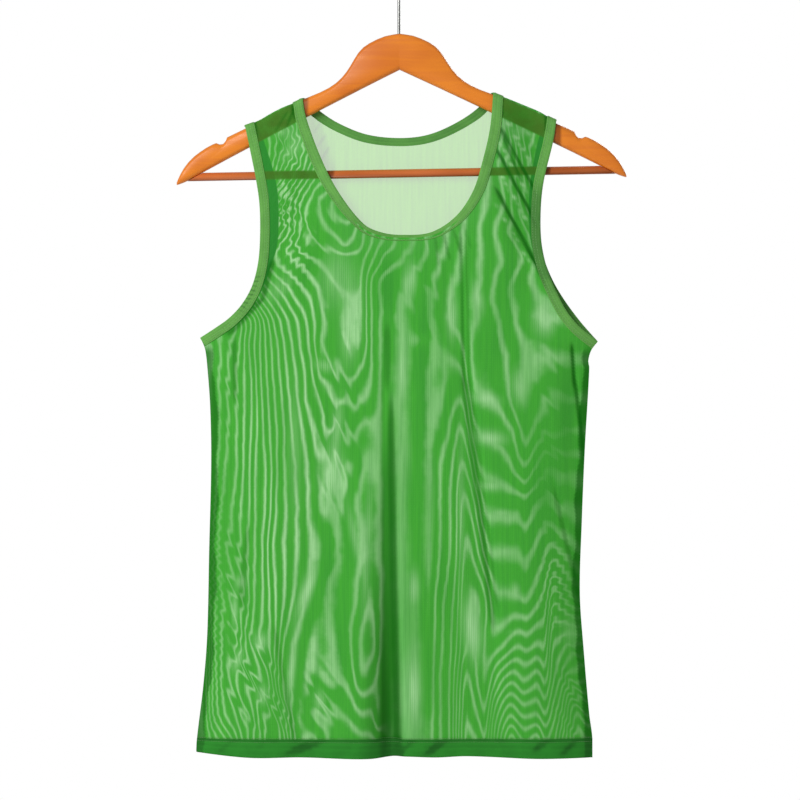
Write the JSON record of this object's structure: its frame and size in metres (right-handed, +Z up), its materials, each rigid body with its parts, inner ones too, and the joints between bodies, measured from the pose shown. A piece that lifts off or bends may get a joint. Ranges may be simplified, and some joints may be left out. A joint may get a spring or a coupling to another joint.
{
  "type": "mesh tank top on a wooden hanger",
  "caption": "Sleeveless mesh tank top with a low scooped neck and bound edges, hung flat on a wooden hanger with a trouser bar and a wire hook.",
  "frame": {"origin": "inside top of the hook's loop, where the rail touches", "axes": "+Z up, +X to the right as seen from the front, +Y away from the front, along the rail"},
  "size_m": [0.4503, 0.0459, 0.8132],
  "materials": {
    "mesh": "fine sheer knit mesh, slightly lustrous",
    "binding": "dense matte knit strip, top stitched",
    "hem": "double mesh, top stitched",
    "wood": "clear orange varnish, satin to gloss",
    "steel": "plated wire"
  },
  "bodies": {
    "root": {"front_panel": "mesh", "back_panel": "mesh", "neck_binding": "binding", "armhole_binding_left": "binding", "armhole_binding_right": "binding", "hem_front": "hem", "hem_back": "hem", "hanger_arm_left": "wood", "hanger_arm_right": "wood", "hanger_bar": "wood", "hanger_hook": "steel"}
  },
  "joints": []
}
